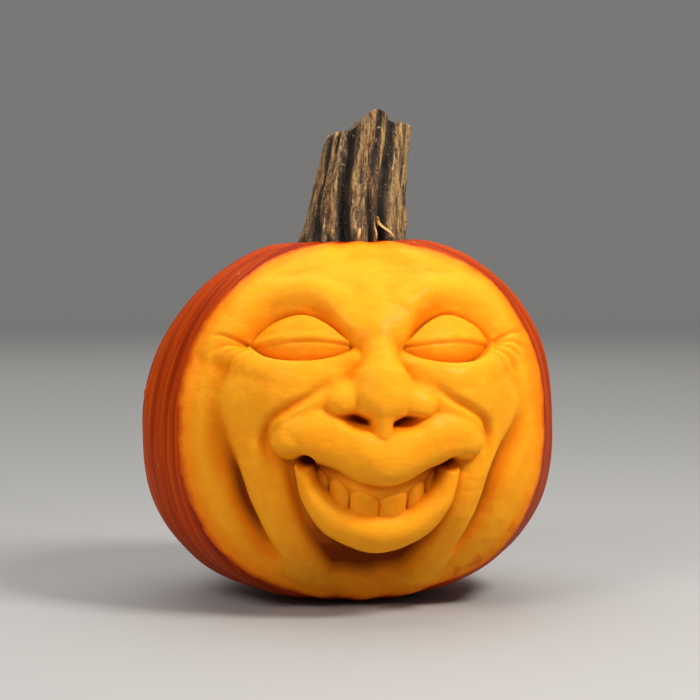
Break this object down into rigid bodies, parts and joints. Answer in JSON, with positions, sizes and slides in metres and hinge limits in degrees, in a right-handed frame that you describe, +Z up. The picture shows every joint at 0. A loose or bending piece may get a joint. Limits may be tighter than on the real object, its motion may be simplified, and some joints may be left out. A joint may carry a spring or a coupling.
{
  "type": "carved pumpkin lantern",
  "caption": "Whole pumpkin with its rind peeled off the front and a laughing face with shut eyes carved in relief into the flesh, topped by a ribbed woody stalk.",
  "frame": {"origin": "middle of the flat foot that the pumpkin stands on, below the middle of its widest ring", "axes": "+Z up through the stalk, the carved face towards -Y, +X to the right of someone who looks at the face"},
  "size_m": [0.2408, 0.2378, 0.2843],
  "materials": {
    "pumpkin_flesh": "moist matte carved flesh, golden yellow to orange, with a smooth deep orange rind behind it",
    "stalk_wood": "dry ribbed woody stalk, tan ridges and dark grey-brown grooves"
  },
  "bodies": {
    "root": {"pumpkin": "pumpkin_flesh", "stalk": "stalk_wood"}
  },
  "joints": []
}
